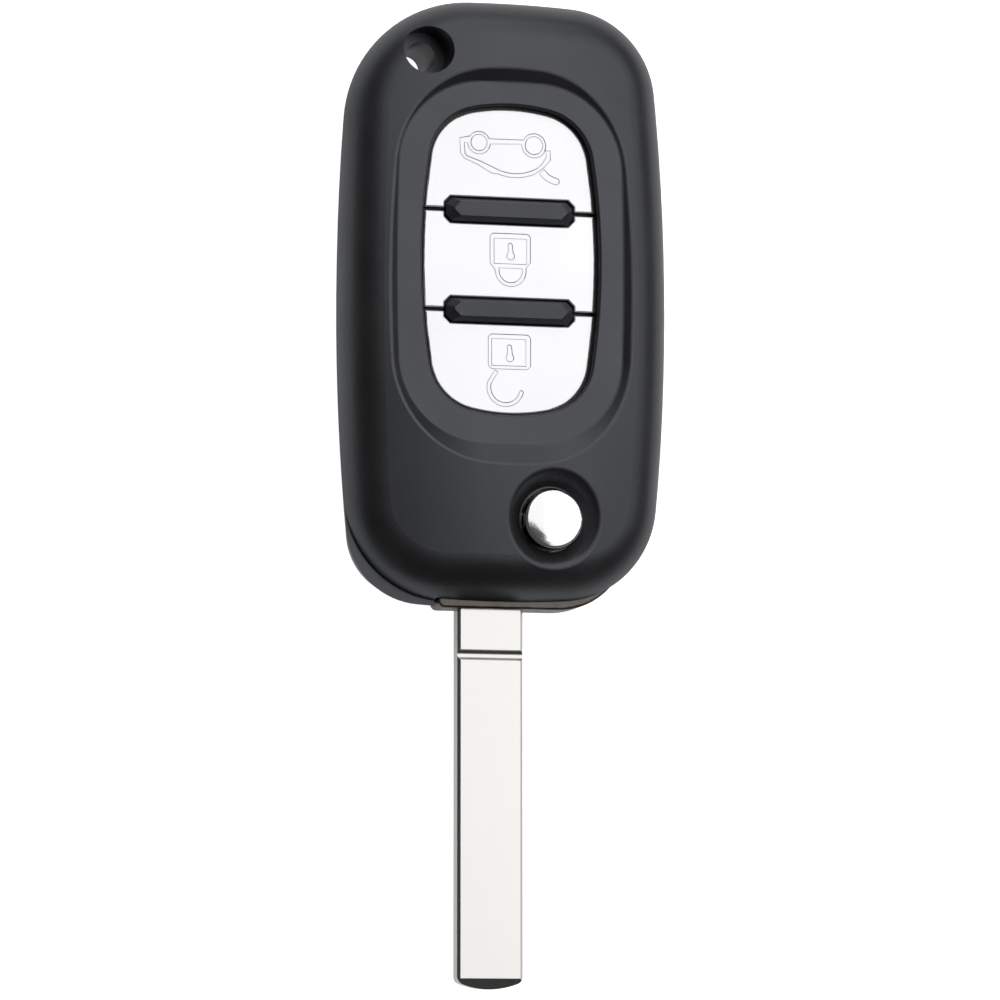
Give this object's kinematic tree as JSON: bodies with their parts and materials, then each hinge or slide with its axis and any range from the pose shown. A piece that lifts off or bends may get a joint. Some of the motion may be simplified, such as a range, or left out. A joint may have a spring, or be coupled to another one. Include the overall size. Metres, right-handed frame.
{
  "type": "key fob shell",
  "caption": "Replacement shell for a flip-blade car remote: two-part moulded housing, silver buttons over a rubber keypad, sprung release button and an uncut folding blade.",
  "frame": {"origin": "middle of the flat back of the housing", "axes": "+Z out of the front with the buttons, +Y along the housing towards the key-ring hole, +X to the right as the front is looked at. The blade points along -Y when it is swung out."},
  "size_m": [0.0408, 0.1194, 0.0154],
  "materials": {
    "cover_plastic": "fine-grained matte black moulded plastic",
    "inner_plastic": "plain black moulded plastic",
    "keypad_rubber": "smooth dark silicone rubber",
    "button_silver": "satin silver-white coated plastic",
    "button_chrome": "bright plated metal",
    "blade_nickel": "polished nickel-plated blade blank",
    "hub_metal": "dark blackened cast metal",
    "screw_steel": "plain bright steel"
  },
  "bodies": {
    "housing": {"front_cover": "cover_plastic", "rear_cover": "cover_plastic", "keypad_mat": "keypad_rubber", "board_tray": "inner_plastic", "tray_screws": "screw_steel", "spring_cup": "inner_plastic"},
    "blade_carrier": {"blade_hub": "hub_metal", "key_blade": "blade_nickel", "blade_pin": "screw_steel", "flip_spring": "screw_steel"},
    "release_button": {"release_button": "button_chrome"},
    "boot_button": {"boot_button": "button_silver"},
    "lock_button": {"lock_button": "button_silver"},
    "unlock_button": {"unlock_button": "button_silver"}
  },
  "joints": [
    {"name": "blade_flip", "type": "hinge", "parent": "housing", "child": "blade_carrier", "pos_m": [0.0052, -0.0265, 0.0075], "axis": [0, 0, 1], "range_deg": [0, 180], "stiffness_Nm_per_rad": 0.01, "springref_deg": -57.3},
    {"name": "release_press", "type": "slide", "parent": "blade_carrier", "child": "release_button", "axis": [0, 0, -1], "range_m": [0, 0.0015], "stiffness_N_per_m": 600, "springref_m": -0.0015, "deforming": ["flip_spring"]},
    {"name": "boot_press", "type": "slide", "parent": "housing", "child": "boot_button", "axis": [0, 0, -1], "range_m": [0, 0.0005], "stiffness_N_per_m": 400, "springref_m": -0.0005, "deforming": ["keypad_mat"]},
    {"name": "lock_press", "type": "slide", "parent": "housing", "child": "lock_button", "axis": [0, 0, -1], "range_m": [0, 0.0005], "stiffness_N_per_m": 400, "springref_m": -0.0005, "deforming": ["keypad_mat"]},
    {"name": "unlock_press", "type": "slide", "parent": "housing", "child": "unlock_button", "axis": [0, 0, -1], "range_m": [0, 0.0005], "stiffness_N_per_m": 400, "springref_m": -0.0005, "deforming": ["keypad_mat"]}
  ]
}
